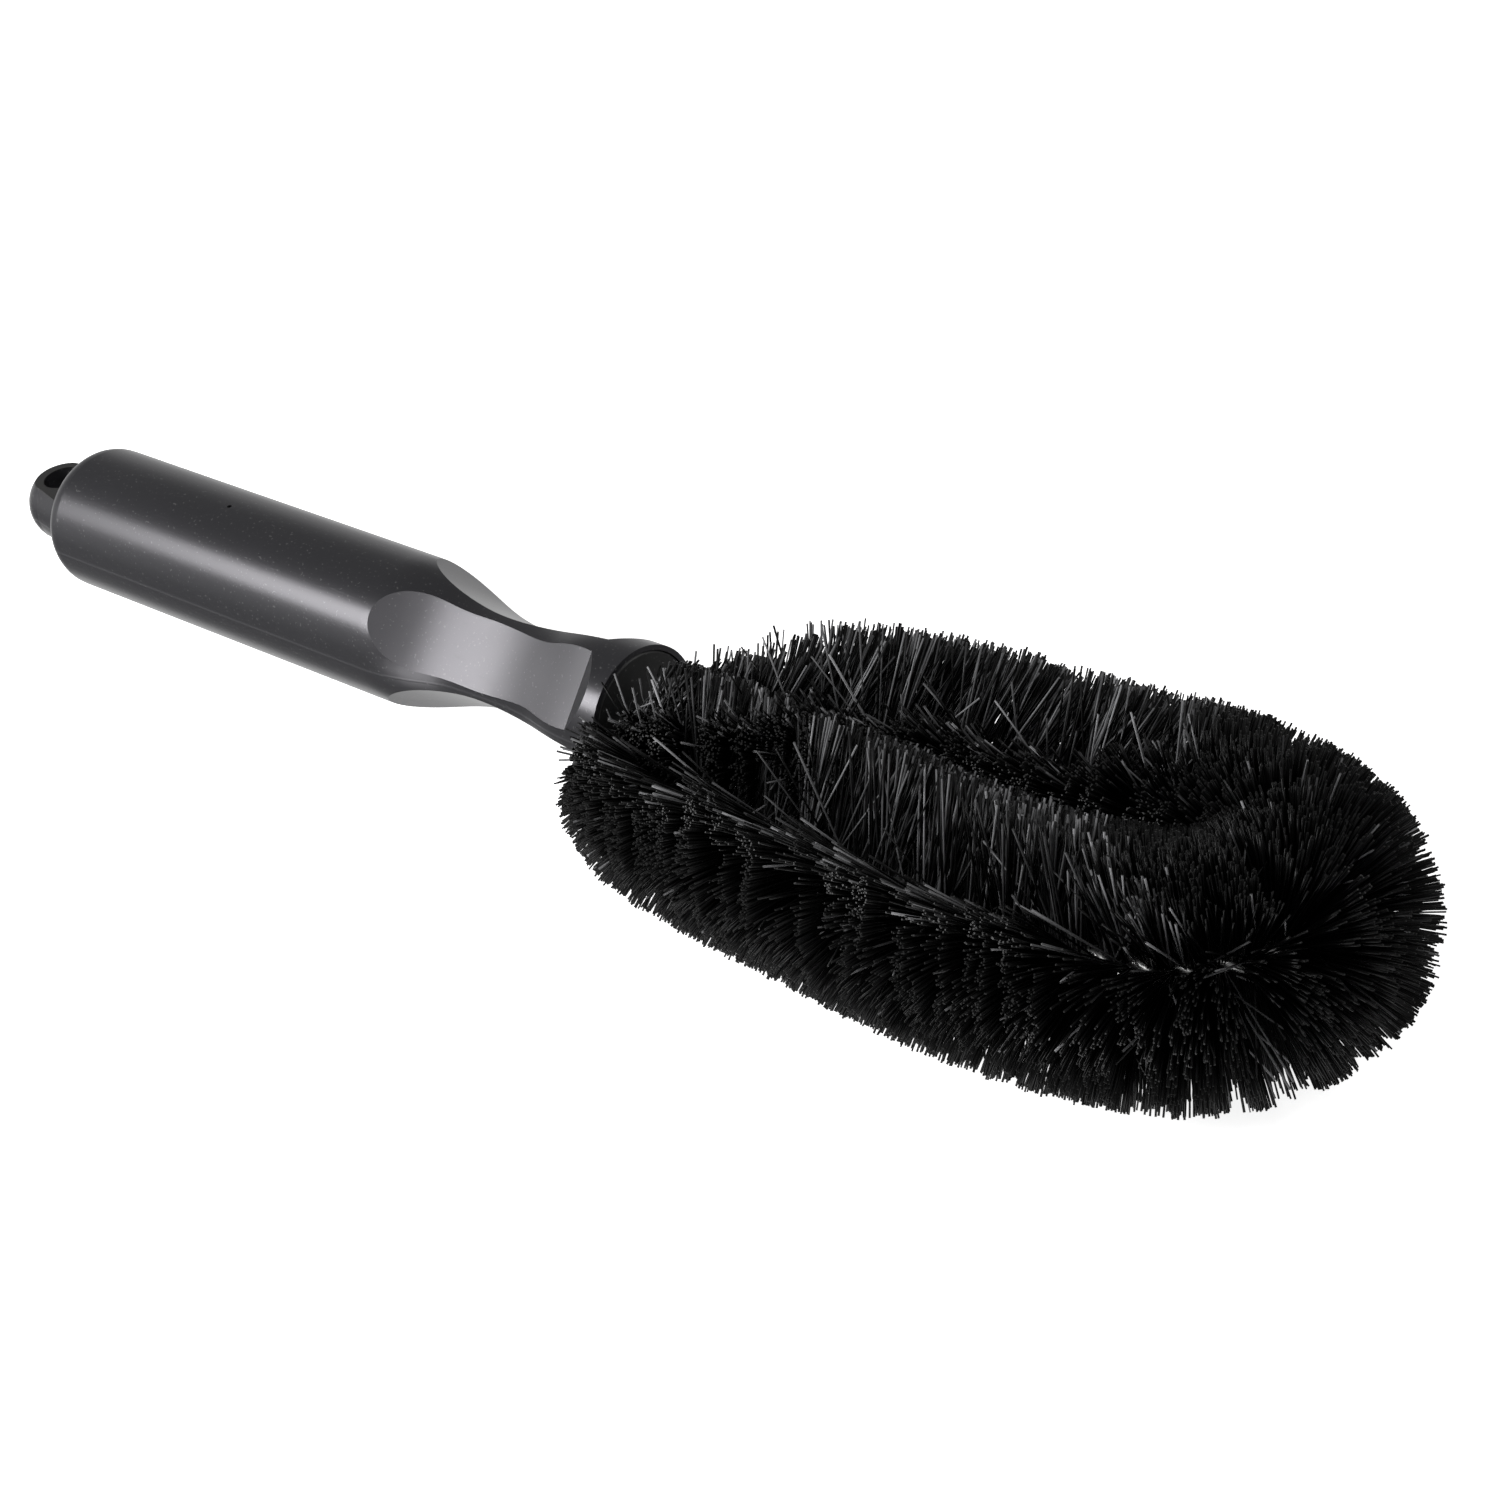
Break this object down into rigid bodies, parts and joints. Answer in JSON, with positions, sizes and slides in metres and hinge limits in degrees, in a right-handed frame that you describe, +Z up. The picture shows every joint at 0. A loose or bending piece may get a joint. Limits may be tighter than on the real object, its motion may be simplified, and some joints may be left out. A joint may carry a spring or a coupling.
{
  "type": "wheel brush",
  "caption": "Wheel brush: a hollow moulded handle with a hanging eye and finger flats, a mouth plug, and a twisted-wire brush bent into one long loop of stiff bristles.",
  "frame": {"origin": "middle of the brush's footprint, on the surface that its bristles lie on", "axes": "+X along the handle towards the head's tip, +Z up, square to the plane of the wire loop"},
  "size_m": [0.4104, 0.096, 0.054],
  "materials": {
    "handle_plastic": "satin",
    "plug_plastic": "satin",
    "wire_steel": "satin",
    "bristle_fibre": "satin"
  },
  "bodies": {
    "root": {"bristles_far_1": "bristle_fibre", "bristles_far_2": "bristle_fibre", "bristles_far_3": "bristle_fibre", "bristles_far_4": "bristle_fibre", "bristles_far_5": "bristle_fibre", "bristles_near_1": "bristle_fibre", "bristles_near_2": "bristle_fibre", "bristles_near_3": "bristle_fibre", "bristles_near_4": "bristle_fibre", "bristles_tip_1": "bristle_fibre", "bristles_tip_2": "bristle_fibre", "bristles_tip_3": "bristle_fibre", "bristles_tip_4": "bristle_fibre", "bristles_tip_5": "bristle_fibre", "bristles_tip_6": "bristle_fibre", "handle_shell": "handle_plastic", "mouth_plug": "plug_plastic", "wire_strand_lower": "wire_steel", "wire_strand_upper": "wire_steel"}
  },
  "joints": []
}
